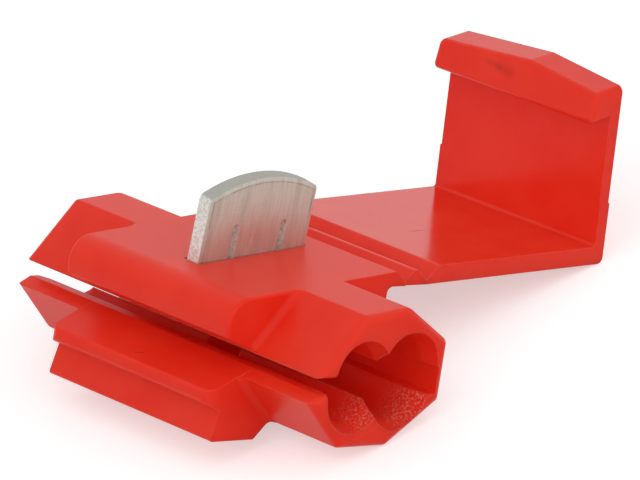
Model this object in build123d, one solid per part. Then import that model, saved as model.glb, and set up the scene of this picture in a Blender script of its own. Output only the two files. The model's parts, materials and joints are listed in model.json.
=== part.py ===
from build123d import *

import os
from math import asin, atan2, cos, degrees, hypot, radians, sin, tan

# A tap splice for two wires, stored open, in millimetres.
# The red moulding is a C-shaped housing, a folding rib and a cover, joined by two living hinges.
# A stamped U-contact stands half pressed in a slot of the housing's upper leaf.
# X runs from the open mouth to the hinge, Y along the wires, Z up.
# Every profile is drawn upright, with the corner of the flat bottom nearest the mouth at X 0, Z 0.
# The finished pieces are then tipped to the way the part lies: on the back edge of its flat bottom
# and on the outer corner of the open cover, because the cover outweighs the mouth side.

# Housing, lengths along the wires
body_length = 20.0
block_length = 10.9
end_round = 0.4
leaf_side_round = 0.15
inner_corner_round = 0.35
mouth_end_round = 0.35

# Housing, bottom and back
bottom_width = 2.78
bottom_slant_rise = 1.95
back_x = 5.55
back_top_z = 4.67
block_back_x = 5.75

# Housing, upper leaf
leaf_slope_deg = 6.0
leaf_top_z = 5.88
neck_top_front_x = 0.51
neck_top_back_x = 3.08
upper_lip_x = -1.82
upper_lip_z = 3.2
neck_corner_round = 0.25
neck_top_back_round = 0.7
neck_back_round = 0.3
block_lip_x = -1.7
leaf_front_x = -3.63
leaf_front_round = 1.2
leaf_corner_round = 0.45
leaf_flare_x = -3.28
leaf_flare_z = 3.82
leaf_flare_round = 0.2

# Housing, lower leaf with its guiding ledge and its foot
lower_lip_x = -2.17
lower_lip_z = 2.11
lower_lip_inner_x = -1.51
lower_lip_inner_z = 2.46
ledge_front_x = -3.82
ledge_top_z = 1.42
ledge_thickness = 0.56
ledge_round = 0.22
ledge_corner_round = 0.55
foot_root_x = -3.11
foot_root_z = 0.58
foot_front_x = -3.46
foot_back_x = -0.89
foot_depth = 0.8
foot_round = 0.15
foot_heel_x = -0.12

# Wire channels: the wire that runs through lies by the mouth, the tapped wire by the hinge
upper_pitch = 2.7
lower_pitch = 2.62
upper_channel_x = 0.75
upper_channel_z = 3.25
upper_ridge_cut = 0.33
lower_channel_x = 0.42
lower_channel_z = 2.3
channel_radius = 1.35
mouth_radius = 1.6
mouth_depth = 0.9
back_wall = 0.4
throat_x = -0.85

# Living hinges and the rib between them
web_thickness = 0.22
hinge_bottom_z = 5.84
first_fold_x = 6.8
fold_pitch = 1.33
groove_flank_deg = 42.0
groove_floor = 0.05
rib_height = 0.46
rib_crest_round = 0.2
strip_fillet = 0.3
fold_end_round = 0.2

# Cover, with the hook's top measured from the top of the wall's inner face
cover_width = 10.7
arm_lift_deg = 3.1
arm_thickness = 0.82
arm_reach = 10.24
wall_thickness = 0.56
wall_height = 5.96
wall_root_round = 0.15
wall_outer_round = 0.3
wall_step_height = 2.0
wall_side_step = 0.08
hook_reach = 1.27
hook_undercut = 0.27
hook_top_height = 1.16
hook_top_set_back = 0.38
hook_ridge_y = -0.63
hook_ridge_rise = 0.42
hook_back_rise = 0.27
hook_round = 0.2
hook_end_round = 0.35
hook_edge_round = 0.25

# Contact and the slot that it is pressed into
contact_width = 6.2
contact_thickness = 0.82
contact_left_x = -1.06
contact_exposed = 2.85
contact_right_rise = 0.2
contact_crown_rise = 0.74
contact_corner_round = 0.3
contact_embedded = 1.15
contact_travel = 3.3
contact_pitch_deg = 3.0
contact_lean_deg = 7.0
contact_border_width = 0.2
contact_border_depth = 0.045
contact_slot_width = 0.34
contact_slot_height = 1.58
contact_slot_pitch = 2.79
contact_tip_bevel_width = 0.7
contact_tip_bevel_height = 0.65
slot_end_clearance = 0.03
slot_side_width = 1.04
recess_half_width = 1.1
recess_clearance = 0.12
recess_top_z = 4.95

# Worked out from the sizes above
half_body = body_length / 2
half_block = block_length / 2
leaf_rise = tan(radians(leaf_slope_deg))
fold_z = hinge_bottom_z + web_thickness
second_fold_x = first_fold_x + fold_pitch
flank_run = 1 / tan(radians(groove_flank_deg))
tolerance = 1e-3


def leaf_z(x):
    """Height of the upper leaf's top face at x."""
    return leaf_top_z + leaf_rise * x


def profile(corners):
    """Closed face in the XZ plane from (x, z) or (x, z, radius) corners."""
    face = Polygon(*[corner[:2] for corner in corners], align=None)
    for corner in corners:
        if len(corner) == 3:
            target = Vector(corner[0], corner[1], 0)
            vertex = min(face.vertices(), key=lambda v: (Vector(v.X, v.Y, v.Z) - target).length)
            face = fillet(vertex, corner[2])
    return face


def prism(face, half_length):
    """The face swept along Y, to the same length on both sides of the middle."""
    return extrude(Plane.XZ * face, half_length, both=True)


def along_y(radius, half_length, x, z):
    """Cylinder along Y, middle at y = 0."""
    return Pos(x, 0, z) * Rot(90, 0, 0) * Cylinder(radius, 2 * half_length)


# The underside of the slit between the leaves, from its inner end to the lower lip
slit_floor = [
    (throat_x, lower_lip_inner_z),
    (lower_lip_inner_x, lower_lip_inner_z),
]


def in_mouth(edge):
    """True for the edges of an end that face the slit between the leaves."""
    middle = edge.center()
    return middle.X < neck_top_front_x and lower_lip_z < middle.Z < upper_lip_z + tolerance


def neck():
    """The two octagonal ends, as one prism through the block."""
    face = profile([
        (upper_lip_x, upper_lip_z),
        (neck_top_front_x, leaf_z(neck_top_front_x)),
        (neck_top_back_x, leaf_z(neck_top_back_x), neck_top_back_round),
        (back_x, back_top_z, neck_back_round),
        (back_x, bottom_slant_rise, neck_corner_round),
        (bottom_width, 0, neck_corner_round),
        (0, 0, neck_corner_round),
        (lower_lip_x, lower_lip_z),
        *reversed(slit_floor),
        (throat_x, upper_lip_z),
    ])
    return prism(face, half_body)


def block_profile():
    """The wide middle's section: upper leaf, hinge strip, back, foot and ledge."""
    groove_top = leaf_z(first_fold_x - groove_floor) - fold_z
    strip_end_x = first_fold_x - groove_floor - groove_top * flank_run
    slant_top = bottom_slant_rise * (block_back_x - bottom_width) / (back_x - bottom_width)
    return profile([
        (block_lip_x, upper_lip_z),
        (leaf_flare_x, leaf_flare_z, leaf_flare_round),
        (leaf_front_x, leaf_z(leaf_front_x), leaf_front_round),
        (strip_end_x, leaf_z(strip_end_x), fold_end_round),
        (first_fold_x - groove_floor, fold_z),
        (first_fold_x, fold_z),
        (first_fold_x, hinge_bottom_z),
        (block_back_x, hinge_bottom_z, strip_fillet),
        (block_back_x, slant_top, neck_corner_round),
        (bottom_width, 0, neck_corner_round),
        (foot_heel_x, 0),
        (foot_back_x, -foot_depth, foot_round),
        (foot_front_x, -foot_depth, foot_round),
        (foot_root_x, foot_root_z),
        (ledge_front_x, ledge_top_z - ledge_thickness, ledge_round),
        (ledge_front_x, ledge_top_z, ledge_round),
        *reversed(slit_floor),
        (throat_x, upper_lip_z),
    ])


def plan_corners(front_x, radius, low_z, high_z):
    """What a round in plan takes off the block's two corners at front_x, between two heights."""
    cut = Part()
    for side in (-1, 1):
        corner = Pos(radius / 2, -side * radius / 2) * Rectangle(radius, radius)
        corner -= Pos(radius, -side * radius) * Circle(radius)
        cut += Pos(front_x, side * half_block, low_z) * extrude(corner, high_z - low_z)
    return cut


def mouth_ends():
    """What rounds the ends of both leaves where they face the slit."""
    cut = Part()
    radius = mouth_end_round
    lines = [
        ((upper_lip_x, upper_lip_z), (upper_channel_x - channel_radius, upper_lip_z)),
        ((lower_channel_x - channel_radius, lower_lip_inner_z), (lower_lip_inner_x, lower_lip_inner_z)),
        ((lower_lip_inner_x, lower_lip_inner_z), (lower_lip_x, lower_lip_z)),
    ]
    for start, end in lines:
        run = Vector(end[0] - start[0], 0, end[1] - start[1])
        inward = Vector(-run.Z, 0, run.X)
        plane = Plane(origin=(start[0], 0, start[1]), x_dir=inward, z_dir=run)
        for side in (-1, 1):
            corner = Pos(radius / 2, side * (half_body - radius / 2)) * Rectangle(radius, radius)
            corner -= Pos(radius, side * (half_body - radius)) * Circle(radius)
            cut += extrude(plane * corner, run.length)
    return cut


def moulding():
    """Neck and block as one solid, with the rounds along their outer edges and inner corners."""
    neck_front = (upper_lip_x, upper_lip_z), (neck_top_front_x, leaf_z(neck_top_front_x))
    leaf_top = (0, leaf_z(0)), (1, leaf_z(1))
    solid = neck() + prism(block_profile(), half_block)
    roots = solid.edges().filter_by(
        lambda e: at_side(e) and on_line(e, *neck_front) and upper_lip_x < e.center().X < neck_top_front_x
    )
    solid = fillet(roots, inner_corner_round)
    tops = solid.edges().filter_by(
        lambda e: half_block - tolerance < abs(e.center().Y) < half_body - tolerance
        and on_line(e, *leaf_top) and e.center().X < neck_top_front_x + tolerance
    )
    solid = fillet(tops, leaf_side_round)
    ends = solid.edges().filter_by(lambda e: abs(e.center().Y) > half_body - tolerance and not in_mouth(e))
    solid = fillet(ends, end_round) + ledge_roots()
    solid -= plan_corners(ledge_front_x, ledge_corner_round, foot_root_z, lower_lip_z)
    solid -= plan_corners(leaf_front_x, leaf_corner_round, upper_lip_z, leaf_top_z)
    return solid - mouth_ends()


def at_side(edge):
    """True for the edges in the two side faces of the block."""
    return abs(abs(edge.center().Y) - half_block) < tolerance


def on_line(edge, start, end):
    """True if the middle of the edge is on the line through two (x, z) points, seen along Y."""
    middle = edge.center()
    across = (middle.X - start[0]) * (end[1] - start[1]) - (middle.Z - start[1]) * (end[0] - start[0])
    return abs(across) < tolerance


def ledge_roots():
    """Rounded inner corners where the sides of ledge and foot meet the slanted lower front of the neck."""
    slant = Vector(-lower_lip_x, 0, -lower_lip_z)
    outward = Vector(-lower_lip_z, 0, lower_lip_x)
    plane = Plane(origin=(lower_lip_x, 0, lower_lip_z), x_dir=outward, z_dir=slant)
    radius = inner_corner_round
    within = prism(block_profile(), half_body)
    roots = Part()
    for side in (-1, 1):
        corner = Pos(radius / 2, side * (half_block + radius / 2)) * Rectangle(radius, radius)
        corner -= Pos(radius, side * (half_block + radius)) * Circle(radius)
        roots += extrude(plane * corner, slant.length) & within
    return roots


def channels():
    """The two wire channels, flared at both ends, with the space between the leaves."""
    rise = leaf_rise * upper_pitch
    upper = [(upper_channel_x, upper_channel_z), (upper_channel_x + upper_pitch, upper_channel_z + rise)]
    lower = [(lower_channel_x, lower_channel_z), (lower_channel_x + lower_pitch, lower_channel_z)]
    inner_back_x = back_x - back_wall
    middle = Polygon(
        (throat_x, upper_lip_z),
        upper[0],
        (upper[0][0], upper[0][1] + upper_ridge_cut),
        (upper[1][0], upper[1][1] + upper_ridge_cut),
        upper[1],
        (inner_back_x, upper[1][1]),
        (inner_back_x, lower[1][1]),
        lower[1],
        lower[0],
        (throat_x, lower_lip_inner_z),
        align=None,
    )
    space = prism(middle, half_body)
    for x, z in upper + lower:
        space += along_y(channel_radius, half_body, x, z)
        for side in (-1, 1):
            flare = Rot(-90 * side, 0, 0) * Cone(channel_radius, mouth_radius, mouth_depth)
            space += Pos(x, side * (half_body - mouth_depth / 2), z) * flare
    return space


def contact_outline(grow=0.0):
    """The contact's face in its own frame: middle of the width at 0, the leaf's top at 0."""
    half = contact_width / 2 + grow
    left = Vector(-half, contact_exposed)
    right = Vector(half, contact_exposed + contact_right_rise)
    chord = right - left
    apex = left + chord / 2 + Vector(-chord.Y, chord.X).normalized() * contact_crown_rise
    foot_z = -contact_embedded - grow
    sides = Polyline(
        left,
        (-half, foot_z + contact_tip_bevel_height),
        (-half + contact_tip_bevel_width, foot_z),
        (half - contact_tip_bevel_width, foot_z),
        (half, foot_z + contact_tip_bevel_height),
        right,
    )
    face = make_face([*sides.edges(), ThreePointArc(right, apex, left)])
    corners = face.vertices().filter_by(
        lambda v: abs(abs(v.X) - half) < tolerance and v.Y > contact_exposed - tolerance
    )
    return fillet(corners, contact_corner_round)


# The contact's own frame has its middle where the slot's middle meets the top of the leaf
contact_middle_x = contact_left_x + contact_width / 2
contact_middle_z = leaf_z(contact_middle_x)
slot_depth = contact_middle_z - recess_top_z


def slot_place():
    """Turns and moves the slot from the contact's own frame to the upper leaf."""
    return Pos(contact_middle_x, 0, contact_middle_z) * Rot(0, -contact_pitch_deg, 0)


def contact_place():
    """Turns and moves the contact's own frame to where it leans in the slot, about the slot's half depth."""
    half_depth = slot_depth / 2
    return slot_place() * Pos(0, 0, -half_depth) * Rot(contact_lean_deg, 0, 0) * Pos(0, 0, half_depth)


def contact():
    """The stamped U-contact: a crowned blade with two wire slots open at the bottom."""
    run_x = upper_channel_x - contact_middle_x
    face = contact_outline()
    for x in (run_x, run_x + contact_slot_pitch):
        length = contact_slot_height + contact_embedded - contact_slot_width / 2
        middle = contact_slot_height - contact_slot_width / 2 - length / 2
        face -= Pos(x, middle) * Rectangle(contact_slot_width, length)
        face -= Pos(x, contact_slot_height - contact_slot_width / 2) * Circle(contact_slot_width / 2)
    blade = prism(face, contact_thickness / 2)
    for side in (-1, 1):
        flat = min(blade.faces(), key=lambda f: abs(f.center().Y - side * contact_thickness / 2))
        rim = flat.edges().filter_by(on_contact_rim)
        blade = chamfer(rim, contact_border_width, contact_border_depth, reference=flat)
    return contact_place() * blade


def on_contact_rim(edge):
    """True for the edges around the blade's sides and crown, which have a coined border."""
    middle = edge.center()
    at_end = abs(middle.X) > contact_width / 2 - contact_corner_round
    return middle.Z > contact_exposed or (at_end and middle.Z > -contact_embedded + contact_tip_bevel_height)


def contact_space():
    """The slot through the upper leaf and the recess that takes the contact's legs when pressed."""
    slot = slot_place() * Box(contact_width + 2 * slot_end_clearance, slot_side_width, 2 * slot_depth)
    pressed = Pos(0, -contact_travel) * contact_outline(recess_clearance)
    below = Pos(0, -contact_middle_z) * Rectangle(2 * contact_width, 2 * recess_top_z)
    recess = slot_place() * prism(pressed & below, recess_half_width)
    return slot + recess


def housing():
    """The C-shaped body of the moulding."""
    return moulding() - channels() - contact_space()


def hinge_rib():
    """The rib between the two fold lines, with a web to each side of it."""
    left = groove_floor + rib_height * flank_run
    face = profile([
        (first_fold_x, hinge_bottom_z),
        (first_fold_x, fold_z),
        (first_fold_x + groove_floor, fold_z),
        (first_fold_x + left, fold_z + rib_height, rib_crest_round),
        (second_fold_x - left, fold_z + rib_height, rib_crest_round),
        (second_fold_x - groove_floor, fold_z),
        (second_fold_x, fold_z),
        (second_fold_x, hinge_bottom_z),
    ])
    return prism(face, cover_width / 2)


def on_arm(x, z):
    """A point of the cover, x along the arm from the fold line and z from its underside."""
    lift = radians(arm_lift_deg)
    return (second_fold_x + x * cos(lift) - z * sin(lift), hinge_bottom_z + x * sin(lift) + z * cos(lift))


def cover():
    """The arm, the wall and the hook that snaps under the foot."""
    top = arm_thickness
    outer_x = arm_reach + wall_thickness
    flank = groove_floor + (arm_thickness - web_thickness) * flank_run
    arm = profile([
        (second_fold_x, hinge_bottom_z),
        (second_fold_x, fold_z),
        (second_fold_x + groove_floor, fold_z),
        (*on_arm(flank, top), fold_end_round),
        (*on_arm(arm_reach, top), wall_root_round),
        (*on_arm(arm_reach, top + wall_step_height),),
        (*on_arm(outer_x, top + wall_step_height),),
        (*on_arm(outer_x, 0), wall_outer_round),
    ])
    return prism(arm, cover_width / 2) + wall_and_hook()


def wall_and_hook():
    """The wall above its side steps, with the hook along its top, which has a low ridge across it."""
    wall_z = arm_thickness + wall_height
    ridge_z = wall_z + hook_top_height + hook_ridge_rise
    outer_x = arm_reach + wall_thickness
    tip_x = arm_reach - hook_reach
    front_x = tip_x + hook_top_set_back
    face = profile([
        (*on_arm(arm_reach, arm_thickness + wall_step_height),),
        (*on_arm(arm_reach, wall_z),),
        (*on_arm(tip_x, wall_z - hook_undercut), hook_round),
        (*on_arm(front_x, ridge_z),),
        (*on_arm(outer_x, ridge_z + hook_back_rise),),
        (*on_arm(outer_x, arm_thickness + wall_step_height),),
    ])
    half = cover_width / 2 - wall_side_step
    gable = Polygon(
        (-half, -ridge_z),
        (half, -ridge_z),
        (half, -hook_ridge_rise),
        (hook_ridge_y, 0),
        (-half, -hook_ridge_rise),
        align=None,
    )
    shoulders = gable.vertices().filter_by(lambda v: abs(v.Y + hook_ridge_rise) < tolerance)
    gable = fillet(shoulders, hook_end_round)
    slope_deg = arm_lift_deg + degrees(atan2(hook_back_rise, outer_x - front_x))
    ridge_x, ridge_top = on_arm(front_x, ridge_z)
    under_gable = Rot(0, -slope_deg, 0) * extrude(Plane.YZ * gable, arm_reach, both=True)
    solid = prism(face, half) & Pos(ridge_x, 0, ridge_top) * under_gable
    upright = solid.edges().filter_by(
        lambda e: abs(abs(e.center().Y) - half) < tolerance
        and e.center().Z > on_arm(arm_reach, wall_z)[1]
        and e.geom_type == GeomType.LINE
        and abs((e @ 0).Z - (e @ 1).Z) > hook_undercut
    )
    return fillet(upright, hook_edge_round)


def rest_tilt_deg():
    """Angle of the line that the bottom's back edge and the cover's outer corner both rest on."""
    slant = atan2(bottom_slant_rise, back_x - bottom_width)
    bottom = (bottom_width - neck_corner_round * tan(slant / 2), neck_corner_round)
    corner = on_arm(arm_reach + wall_thickness - wall_outer_round, wall_outer_round)
    run, rise = corner[0] - bottom[0], corner[1] - bottom[1]
    drop = asin((wall_outer_round - neck_corner_round) / hypot(run, rise))
    return degrees(atan2(rise, run) - drop)


def lie_on_floor(upright):
    """Tips the pieces to the way the part lies, with the middle of its box's bottom at the origin."""
    tipped = Compound([Rot(0, rest_tilt_deg(), 0) * solid for solid in upright.values()])
    box = tipped.bounding_box()
    place = Pos(-box.center().X, 0, -box.min.Z) * Rot(0, rest_tilt_deg(), 0)
    return place, {name: place * solid for name, solid in upright.items()}


place, pieces = lie_on_floor({
    "housing": housing(),
    "hinge_rib": hinge_rib(),
    "cover": cover(),
    "contact": contact(),
})

os.makedirs("parts", exist_ok=True)
for name, solid in pieces.items():
    export_step(solid, f"parts/{name}.step")
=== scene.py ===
import json
from math import cos, radians, sin

import bmesh
import bpy
from mathutils import Matrix, Vector


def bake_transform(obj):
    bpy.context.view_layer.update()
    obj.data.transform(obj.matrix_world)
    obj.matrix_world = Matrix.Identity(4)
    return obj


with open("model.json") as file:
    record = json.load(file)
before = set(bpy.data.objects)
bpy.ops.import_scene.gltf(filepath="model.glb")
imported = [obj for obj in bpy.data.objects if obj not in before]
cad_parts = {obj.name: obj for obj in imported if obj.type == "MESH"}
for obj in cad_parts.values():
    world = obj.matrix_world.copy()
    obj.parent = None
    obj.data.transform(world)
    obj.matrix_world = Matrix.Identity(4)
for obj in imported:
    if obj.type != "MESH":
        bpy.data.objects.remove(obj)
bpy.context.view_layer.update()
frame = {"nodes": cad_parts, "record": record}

# A red tap splice lying open, with its tinned contact standing in its slot.
# Lengths are in metres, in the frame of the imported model: X towards the cover, Y along the wires.
MM = 0.001

record = frame["record"]
nodes = frame["nodes"]
joints = {joint["name"]: joint for joint in record["behaviour"]["joints"]}
mounts = {mount["name"]: mount for mount in record["mounts"]}

# The moulding's own directions, which are tipped where it rests on the floor
first_fold = Vector(joints["rib_fold"]["pos_m"])
second_fold = Vector(joints["cover_fold"]["pos_m"])
own_up = -Vector(mounts["plier_face_bottom"]["axis"])
own_x = (second_fold - first_fold).normalized()
press_up = -Vector(joints["contact_press"]["axis"])
blade_normal = own_x.cross(press_up).normalized()
blade_turn = Matrix((blade_normal.cross(press_up), blade_normal, press_up)).transposed()
run_channel = Vector(mounts["run_channel"]["pos_m"])
tap_channel = Vector(mounts["tap_channel"]["pos_m"])

# The webs of the living hinges, a little inside the moulding's own webs
web_thickness = 0.22 * MM
web_inset = 0.01 * MM
web_half_run = 0.13 * MM
web_half_width = 5.33 * MM
web_steps = 16

# The blade: its coined border with the groove inside it, the depth below the crown over which its shine
# fades in, its edges and textures, and where the crown's arc is read, as shares of the blade's width
border_width = 0.2 * MM
groove_half_width = 0.06 * MM
shine_from = 0.2 * MM
shine_to = 2.6 * MM
groove_depth = 0.02 * MM
groove_wear_size = 0.5 * MM
metal_edge_round = 0.04 * MM
metal_grain_size = 0.07 * MM
metal_grain_depth = 0.007 * MM
sheared_pit_size = 0.13 * MM
sheared_pit_depth = 0.035 * MM
sheared_speck_size = 0.12 * MM
crown_shares = (0.2, 0.5, 0.8)
crown_reach = 0.1

# Patterns on the blade: their size, and how many times they are drawn out across, through and up it
drawn_lines = (0.07 * MM, (1, 1, 20))
drawn_bands = (0.6 * MM, (1, 1, 9))
cross_scratches = (0.06 * MM, (14, 1, 1))

# The coarse sparkle in the near ends of the wire channels, pitted, with painted glints: distances from the
# part's middle along the wires, and from the axis of a channel
sparkle_from = 7.6 * MM
sparkle_full = 8.8 * MM
sparkle_reach = 1.62 * MM
sparkle_edge = 1.70 * MM
painted_glint_size = 0.10 * MM
sparkle_pit_size = 0.16 * MM
sparkle_pit_depth = 0.10 * MM

# Camera, at the photo's viewing angle
camera_azimuth = -38.02
camera_elevation = 26.80
camera_roll = -8.37
camera_distance = 356.15 * MM
camera_target = Vector((-0.716, 0.679, 4.186)) * MM
camera_lens = 450.0
sensor_width = 36.0
camera_clip = (10 * MM, 5.0)

# The red plastic: how light scatters in it, its softened edges, where they turn enough for a pale painted
# highlight with some wear, the sizes of its unevenness, and each piece's roughness and moulded texture
# depth
plastic_ior = 1.49
plastic_specular = 0.155
scatter_share = 0.6
scatter_radius = (1.0, 0.08, 0.05)
scatter_depth = 1.2 * MM
plastic_edge_round = 0.07 * MM
edge_samples = 6
sheen_and_wear_size = 0.35 * MM
sheen_and_wear_turn = (0.03, 0.20)
cloud_size = 3.0 * MM
wave_size = 1.2 * MM
wave_depth = 0.012 * MM
grain_size = 0.10 * MM
roughness_spread = 0.10
housing_finish = (0.38, 0.0030 * MM)
rib_finish = (0.30, 0.0020 * MM)
cover_finish = (0.17, 0.0012 * MM)

# Colours, as linear RGB
PLASTIC_RED = (0.87, 0.029, 0.011, 1)
PLASTIC_RED_PALE = (0.89, 0.042, 0.017, 1)
# Pale red on sharp edges: a painted highlight, with some wear
EDGE_SHEEN_AND_WEAR_RED = (0.93, 0.16, 0.115, 1)
# Pale specks painted as glints in the near ends of the wire channels
PAINTED_GLINT = (0.95, 0.30, 0.24, 1)
# Dark red of the marks: partly their own colour, partly painted shade in the dents
MARK_AND_SHADE_RED = (0.30, 0.008, 0.003, 1)
TIN = (0.66, 0.69, 0.60, 1)
TIN_LINES = (0.42, 0.40, 0.33, 1)
TIN_SHEARED = (0.92, 0.93, 0.88, 1)
TIN_CROWN = (0.48, 0.47, 0.43, 1)
TIN_GROOVE = (0.20, 0.16, 0.12, 1)
FLOOR = (0.76, 0.76, 0.76, 1)
WHITE = (1, 1, 1, 1)

# Light: each lamp by azimuth and elevation in degrees, distance and size in metres, and watts
key_lamp = (-55, 44, 0.40, 0.60, 0.53)
fill_lamp = (20, 25, 0.40, 0.35, 0.16)
world_strength = 0.60
floor_glow = 0.50
floor_size = 3.0
red_bounces = 12

# Small marks of use and moulding: start and end in millimetres, width, height and share of darker colour,
# which is partly the marks' own colour and partly painted shade in the dents
cover_marks = (
    ((3.606, -0.434, 3.069), (4.317, -0.414, 2.826), 0.06, 0.03, 0.0),
    ((11.277, 1.858, 7.722), (11.238, 1.09, 7.656), 0.20, -0.02, 0.25),
    ((11.238, 1.09, 7.656), (11.199, 0.329, 7.590), 0.36, -0.03, 0.28),
)
housing_marks = (
    ((-12.113, 0.251, 3.795), (-11.867, -0.141, 3.805), 0.09, -0.02, 0.45),
    ((-9.95, -0.35, 3.74), (-9.80, -0.65, 3.80), 0.12, -0.03, 0.6),
)

# The colour sockets of a mix node, which share their names with its other kinds
mix_factor, mix_first, mix_second, mix_result = 0, 6, 7, 2


def add_node(tree, kind, inputs=None, **settings):
    """A shader node with its settings, and the values or links of its inputs by name or number."""
    node = tree.nodes.new(kind)
    for name, value in settings.items():
        setattr(node, name, value)
    for name, value in (inputs or {}).items():
        if isinstance(value, bpy.types.NodeSocket):
            tree.links.new(value, node.inputs[name])
        else:
            node.inputs[name].default_value = value
    return node


def new_material(name):
    """An empty node material, with its output node."""
    material = bpy.data.materials.new(name)
    material.use_nodes = True
    material.node_tree.nodes.clear()
    return material, add_node(material.node_tree, "ShaderNodeOutputMaterial")


def object_point(tree):
    """Coordinates on the piece, in metres, which move with it."""
    return add_node(tree, "ShaderNodeTexCoord").outputs["Object"]


def in_frame(tree, point, turn, stretch=(1, 1, 1), origin=(0, 0, 0)):
    """Coordinates from an origin along turned axes, each divided by how far the pattern is drawn out."""
    inputs = {"Vector": point, "Location": origin, "Rotation": turn.to_euler(), "Scale": stretch}
    return add_node(tree, "ShaderNodeMapping", inputs, vector_type="TEXTURE").outputs["Vector"]


def noise(tree, point, size, detail=2.0, roughness=0.5):
    """Noise from 0 to 1 with features of about the given size in metres."""
    inputs = {"Vector": point, "Scale": 1 / size, "Detail": detail, "Roughness": roughness}
    return add_node(tree, "ShaderNodeTexNoise", inputs).outputs["Fac"]


def ramp(tree, value, low, high, start=0.0, end=1.0):
    """The value's range low to high drawn out to start to end, and clamped."""
    inputs = {"Value": value, "From Min": low, "From Max": high, "To Min": start, "To Max": end}
    return add_node(tree, "ShaderNodeMapRange", inputs).outputs["Result"]


def combine(tree, operation, first, second=0.0):
    """One sum, product or other operation on two values."""
    return add_node(tree, "ShaderNodeMath", {0: first, 1: second}, operation=operation).outputs["Value"]


def vector_math(tree, operation, first, second, output="Vector"):
    """One operation on two vectors."""
    inputs = {0: first, 1: second}
    return add_node(tree, "ShaderNodeVectorMath", inputs, operation=operation).outputs[output]


def length_of(tree, vector):
    """Length of a vector."""
    return add_node(tree, "ShaderNodeVectorMath", {0: vector}, operation="LENGTH").outputs["Value"]


def distance_along(tree, point, origin, direction):
    """Distance from an origin, measured along a direction."""
    offset = vector_math(tree, "SUBTRACT", point, origin)
    return vector_math(tree, "DOT_PRODUCT", offset, direction, "Value")


def distance_to_line(tree, point, origin):
    """Distance from a line along Y through an origin."""
    offset = vector_math(tree, "MULTIPLY", vector_math(tree, "SUBTRACT", point, origin), (1, 0, 1))
    return length_of(tree, offset)


def drawn_noise(tree, point, turn, size, stretch, detail):
    """Noise drawn out along turned axes."""
    return noise(tree, in_frame(tree, point, turn, stretch), size, detail)


def mix_colour(tree, factor, first, second):
    """Blends two colours by a factor from 0 to 1."""
    inputs = {mix_factor: factor, mix_first: first, mix_second: second}
    return add_node(tree, "ShaderNodeMix", inputs, data_type="RGBA").outputs[mix_result]


def bump(tree, height, distance, strength=1.0, normal=None):
    """Normal of a surface whose height field is given, with its full depth in metres."""
    inputs = {"Height": height, "Distance": distance, "Strength": strength}
    if normal is not None:
        inputs["Normal"] = normal
    return add_node(tree, "ShaderNodeBump", inputs).outputs["Normal"]


def softened_normal(tree, radius):
    """The surface's normal, turned softly over its edges within a radius."""
    return add_node(tree, "ShaderNodeBevel", {"Radius": radius}, samples=edge_samples).outputs["Normal"]


def object_normal_along(tree, direction):
    """How far the piece's own normal points along a direction, from -1 to 1."""
    normal = add_node(tree, "ShaderNodeTexCoord").outputs["Normal"]
    return vector_math(tree, "DOT_PRODUCT", normal, direction, "Value")


def spot(tree, point, start, end, width):
    """1 along a short line on the surface, fading to 0 at the width on both sides of it."""
    start, end = Vector(start) * MM, Vector(end) * MM
    middle, reach = (start + end) / 2, (end - start).length / 2
    lengthways = (end - start).normalized()
    offset = vector_math(tree, "SUBTRACT", point, middle)
    run = vector_math(tree, "DOT_PRODUCT", offset, lengthways, "Value")
    size = length_of(tree, offset)
    off_axis = combine(
        tree, "SUBTRACT", combine(tree, "MULTIPLY", size, size), combine(tree, "MULTIPLY", run, run))
    across = combine(tree, "SQRT", combine(tree, "MAXIMUM", off_axis, 0.0))
    near_line = ramp(tree, across, 0.0, width, 1.0, 0.0)
    within = ramp(tree, combine(tree, "ABSOLUTE", run), reach, reach + width, 1.0, 0.0)
    return combine(tree, "MULTIPLY", near_line, within)


def edge_sheen_and_wear(tree, point, soft_edges):
    """Painted highlight with some wear along sharp edges, from how far the softened normal turns there."""
    normal = add_node(tree, "ShaderNodeNewGeometry").outputs["Normal"]
    turned = combine(tree, "SUBTRACT", 1.0, vector_math(tree, "DOT_PRODUCT", normal, soft_edges, "Value"))
    broken = ramp(tree, noise(tree, point, sheen_and_wear_size, 3.0), 0.40, 0.60, 0.12, 0.60)
    return combine(tree, "MULTIPLY", ramp(tree, turned, *sheen_and_wear_turn), broken)


def red_plastic(name, gloss_roughness, texture_depth, marks=()):
    """Moulded polypropylene: saturated red, translucent at its edges, with a faint moulded texture."""
    material, output = new_material(name)
    tree = material.node_tree
    point = object_point(tree)
    clouds = noise(tree, point, cloud_size, 3.0)
    colour = mix_colour(tree, ramp(tree, clouds, 0.35, 0.65), PLASTIC_RED, PLASTIC_RED_PALE)
    grain = noise(tree, point, grain_size, 4.0, 0.6)
    waves = noise(tree, point, wave_size, 2.0)
    spread = combine(tree, "MULTIPLY", clouds, roughness_spread)
    roughness = combine(tree, "ADD", gloss_roughness - roughness_spread / 2, spread)
    soft_edges = softened_normal(tree, plastic_edge_round)
    # Sharp edges are paled: a painted highlight along them, with some wear
    colour = mix_colour(tree, edge_sheen_and_wear(tree, point, soft_edges), colour, EDGE_SHEEN_AND_WEAR_RED)
    wavy = bump(tree, waves, wave_depth, 0.6, soft_edges)
    normal = bump(tree, grain, texture_depth, 0.7, wavy)
    for start, end, width, depth, darkness in marks:
        mark = spot(tree, point, start, end, width * MM)
        normal = bump(tree, mark, depth * MM, 1.0, normal)
        # Darker colour in the marks: partly their own, partly painted shade in the dents
        colour = mix_colour(tree, combine(tree, "MULTIPLY", mark, darkness), colour, MARK_AND_SHADE_RED)
    shader = add_node(tree, "ShaderNodeBsdfPrincipled", {
        "Base Color": colour,
        "Roughness": roughness,
        "Normal": normal,
        "IOR": plastic_ior,
        "Specular IOR Level": plastic_specular,
        "Subsurface Weight": scatter_share,
        "Subsurface Radius": scatter_radius,
        "Subsurface Scale": scatter_depth,
    })
    tree.links.new(shader.outputs["BSDF"], output.inputs["Surface"])
    return material


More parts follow.
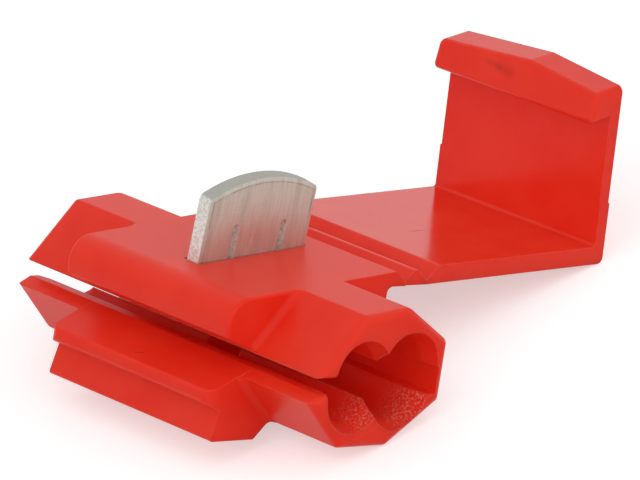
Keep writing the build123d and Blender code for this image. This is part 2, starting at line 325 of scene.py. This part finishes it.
def housing_plastic():
    """The housing's plastic, pitted and with pale painted glints in the near ends of its wire channels."""
    material = red_plastic("housing_red", *housing_finish, housing_marks)
    tree = material.node_tree
    shader = next(n for n in tree.nodes if n.type == "BSDF_PRINCIPLED")
    smooth = shader.inputs["Normal"].links[0].from_socket
    point = object_point(tree)
    from_axes = [distance_to_line(tree, point, channel) for channel in (run_channel, tap_channel)]
    in_channel = ramp(tree, combine(tree, "MINIMUM", *from_axes), sparkle_reach, sparkle_edge, 1.0, 0.0)
    to_end = distance_along(tree, point, (0, 0, 0), (0, -1, 0))
    near_end = ramp(tree, to_end, sparkle_from, sparkle_full)
    mask = combine(tree, "MULTIPLY", near_end, in_channel)
    pits = combine(tree, "MULTIPLY", noise(tree, point, sparkle_pit_size, 3.0, 0.7), mask)
    tree.links.new(bump(tree, pits, sparkle_pit_depth, 1.0, smooth), shader.inputs["Normal"])
    # Pale specks painted as glints, most where the surface faces the channel's mouth
    to_mouth = ramp(tree, object_normal_along(tree, -own_x), 0.0, 0.5, 0.15, 1.0)
    specks = ramp(tree, noise(tree, point, painted_glint_size, 2.0, 0.6), 0.50, 0.72)
    specks = combine(tree, "MULTIPLY", combine(tree, "MULTIPLY", specks, to_mouth), mask)
    plain = shader.inputs["Base Color"].links[0].from_socket
    tree.links.new(mix_colour(tree, specks, plain, PAINTED_GLINT), shader.inputs["Base Color"])
    return material


def circle_through(first, second, third):
    """Centre and radius of the circle through three points of a plane."""
    a, b = second - first, third - first
    across = 2 * (a.x * b.y - a.y * b.x)
    middle = Vector((b.y * a.length_squared - a.y * b.length_squared,
                     a.x * b.length_squared - b.x * a.length_squared)) / across
    return first + middle, middle.length


def blade_outline():
    """The crown's centre and radius and the blade's two sides, read from its mesh along its own axes."""
    to_blade = blade_turn.transposed()
    corners = [to_blade @ vertex.co for vertex in nodes["contact"].data.vertices]
    left, right = min(c.x for c in corners), max(c.x for c in corners)
    crown = []
    for share in crown_shares:
        near = [c for c in corners if abs((c.x - left) / (right - left) - share) < crown_reach]
        top = max(near, key=lambda c: c.z)
        crown.append(Vector((top.x, top.z)))
    centre, radius = circle_through(*crown)
    origin = blade_turn @ Vector((centre.x, 0, centre.y))
    return origin, radius, left - centre.x, right - centre.x


def tinned_metal():
    """Tin-plated sheet with fine lines, a groove inside its border, and rough sheared edges."""
    material, output = new_material("tinned_metal")
    tree = material.node_tree
    point = object_point(tree)
    origin, radius, left, right = blade_outline()
    place = in_frame(tree, point, blade_turn, origin=origin)
    in_plane = vector_math(tree, "MULTIPLY", place, (1, 0, 1))
    below_crown = combine(tree, "SUBTRACT", radius, length_of(tree, in_plane))
    across = add_node(tree, "ShaderNodeSeparateXYZ", {0: place}).outputs["X"]
    off_middle = combine(tree, "ABSOLUTE", combine(tree, "SUBTRACT", across, (left + right) / 2))
    to_side = combine(tree, "SUBTRACT", (right - left) / 2, off_middle)
    to_rim = combine(tree, "MINIMUM", to_side, below_crown)
    off_line = combine(tree, "ABSOLUTE", combine(tree, "SUBTRACT", to_rim, border_width))
    worn = ramp(tree, noise(tree, point, groove_wear_size, 2.0), 0.35, 0.65, 0.15, 0.55)
    groove = combine(tree, "MULTIPLY", ramp(tree, off_line, 0.0, groove_half_width, 1.0, 0.0), worn)

    facing = combine(tree, "ABSOLUTE", object_normal_along(tree, blade_normal))
    sheared = ramp(tree, facing, 0.75, 0.85, 1.0, 0.0)
    on_crown = ramp(tree, object_normal_along(tree, press_up), 0.45, 0.75)

    lines = drawn_noise(tree, point, blade_turn, *drawn_lines, 3.0)
    scratches = drawn_noise(tree, point, blade_turn, *cross_scratches, 3.0)
    bands = drawn_noise(tree, point, blade_turn, *drawn_bands, 2.0)
    grain = noise(tree, point, metal_grain_size, 4.0, 0.7)
    shine = ramp(tree, below_crown, shine_from, shine_to)
    pits = combine(tree, "MULTIPLY", noise(tree, point, sheared_pit_size, 4.0, 0.8), sheared)
    dark_lines = ramp(tree, lines, 0.45, 0.75, 0.0, 0.45)
    dark_scratches = ramp(tree, scratches, 0.55, 0.75, 0.0, 0.22)
    dark_bands = ramp(tree, bands, 0.50, 0.75, 0.0, 0.5)
    dull = combine(tree, "ADD", combine(tree, "ADD", dark_lines, dark_scratches), dark_bands)
    colour = mix_colour(tree, dull, TIN, TIN_LINES)
    colour = mix_colour(tree, groove, colour, TIN_GROOVE)
    rough_edge = mix_colour(tree, on_crown, TIN_SHEARED, TIN_CROWN)
    specks = ramp(tree, noise(tree, point, sheared_speck_size, 2.0, 0.6), 0.42, 0.62, 0.0, 0.5)
    colour = mix_colour(tree, sheared, colour, mix_colour(tree, specks, rough_edge, TIN_LINES))
    drawn = combine(tree, "MULTIPLY", lines, 0.6)
    height = combine(tree, "ADD", drawn, combine(tree, "MULTIPLY", grain, 0.5))
    soft_edges = softened_normal(tree, metal_edge_round)
    fine = bump(tree, height, metal_grain_depth, 0.7, soft_edges)
    grooved = bump(tree, groove, groove_depth, 1.0, fine)
    streaks = ramp(tree, bands, 0.35, 0.65, -0.05, 0.05)
    shader = add_node(tree, "ShaderNodeBsdfPrincipled", {
        "Base Color": colour,
        "Metallic": ramp(tree, shine, 0.0, 1.0, 0.15, 0.60),
        "Roughness": combine(tree, "ADD", ramp(tree, shine, 0.0, 1.0, 0.60, 0.32), streaks),
        "Normal": bump(tree, pits, sheared_pit_depth, 1.0, grooved),
    })
    tree.links.new(shader.outputs["BSDF"], output.inputs["Surface"])
    return material


def dress(piece, material):
    """Gives a piece one material."""
    piece.data.materials.clear()
    piece.data.materials.append(material)


def hinge_web(name, fold, material):
    """A straight strip of web across one fold line."""
    mesh = bpy.data.meshes.new(name)
    strip = bmesh.new()
    top, bottom = web_inset, web_thickness - web_inset
    section = ((top, -1), (top, 1), (bottom, 1), (bottom, -1))
    rows = []
    for step in range(web_steps + 1):
        along = own_x * web_half_run * (2 * step / web_steps - 1)
        rows.append([
            strip.verts.new(fold + along - own_up * depth + Vector((0, side * web_half_width, 0)))
            for depth, side in section
        ])
    for row, following in zip(rows, rows[1:]):
        for corner in range(len(row)):
            beside = (corner + 1) % len(row)
            strip.faces.new((row[corner], row[beside], following[beside], following[corner]))
    strip.faces.new(rows[0])
    strip.faces.new(rows[-1])
    bmesh.ops.recalc_face_normals(strip, faces=strip.faces)
    strip.to_mesh(mesh)
    strip.free()
    web = bpy.data.objects.new(name, mesh)
    bpy.context.collection.objects.link(web)
    dress(web, material)
    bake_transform(web)


def seen_rays(tree):
    """1 for rays that show the surroundings, straight, mirrored or through something clear, and else 0."""
    light_path = add_node(tree, "ShaderNodeLightPath").outputs
    seen = combine(tree, "MAXIMUM", light_path["Is Camera Ray"], light_path["Is Glossy Ray"])
    return combine(tree, "MAXIMUM", seen, light_path["Is Transmission Ray"])


def floor():
    """A wide pale floor that looks white to the camera and keeps the part's shadow."""
    bpy.ops.mesh.primitive_plane_add(size=floor_size, location=(0, 0, 0))
    plane = bpy.context.object
    plane.name = "floor"
    material, output = new_material("pale_floor")
    tree = material.node_tree
    diffuse = add_node(tree, "ShaderNodeBsdfDiffuse", {"Color": FLOOR}).outputs["BSDF"]
    strength = combine(tree, "MULTIPLY", seen_rays(tree), floor_glow)
    glow = add_node(tree, "ShaderNodeEmission", {"Strength": strength})
    both = add_node(tree, "ShaderNodeAddShader")
    tree.links.new(diffuse, both.inputs[0])
    tree.links.new(glow.outputs["Emission"], both.inputs[1])
    tree.links.new(both.outputs["Shader"], output.inputs["Surface"])
    dress(plane, material)


def world_light():
    """Even light from all around, at full white where it is seen straight or mirrored."""
    world = bpy.data.worlds.new("studio")
    bpy.context.scene.world = world
    world.use_nodes = True
    tree = world.node_tree
    tree.nodes.clear()
    strength = ramp(tree, seen_rays(tree), 0.0, 1.0, world_strength, 1.0)
    background = add_node(tree, "ShaderNodeBackground", {"Color": WHITE, "Strength": strength})
    output = add_node(tree, "ShaderNodeOutputWorld")
    tree.links.new(background.outputs["Background"], output.inputs["Surface"])


def direction_to(azimuth, elevation):
    """Unit vector from the part towards a place at that azimuth and elevation in degrees."""
    a, e = radians(azimuth), radians(elevation)
    return Vector((sin(a) * cos(e), -cos(a) * cos(e), sin(e)))


def softbox(name, azimuth, elevation, distance, size, power):
    """A square area lamp aimed at the part."""
    data = bpy.data.lights.new(name, "AREA")
    data.energy = power
    data.size = size
    lamp = bpy.data.objects.new(name, data)
    bpy.context.collection.objects.link(lamp)
    towards = direction_to(azimuth, elevation)
    lamp.location = towards * distance
    lamp.rotation_euler = towards.to_track_quat("Z", "Y").to_euler()


def camera():
    """The camera, placed by angles and distance from its target, with its roll."""
    data = bpy.data.cameras.new("camera")
    data.lens = camera_lens
    data.sensor_width = sensor_width
    data.clip_start, data.clip_end = camera_clip
    view = bpy.data.objects.new("camera", data)
    bpy.context.collection.objects.link(view)
    back = direction_to(camera_azimuth, camera_elevation)
    right = Vector((0, 0, 1)).cross(back).normalized()
    up = back.cross(right)
    turn = Matrix((right, up, back)).transposed().to_4x4() @ Matrix.Rotation(radians(camera_roll), 4, "Z")
    view.matrix_world = Matrix.Translation(camera_target + back * camera_distance) @ turn
    bpy.context.scene.camera = view


web_red = red_plastic("gloss_red", *cover_finish)
dress(nodes["housing"], housing_plastic())
dress(nodes["hinge_rib"], red_plastic("rib_red", *rib_finish))
dress(nodes["cover"], red_plastic("cover_red", *cover_finish, cover_marks))
dress(nodes["contact"], tinned_metal())
hinge_web("first_web", first_fold, web_red)
hinge_web("second_web", second_fold, web_red)

floor()
world_light()
softbox("key", *key_lamp)
softbox("fill", *fill_lamp)
camera()

# The hollows between the leaves glow red from light that goes back and forth many times
bpy.context.scene.cycles.diffuse_bounces = red_bounces
bpy.context.scene.view_settings.view_transform = "Standard"
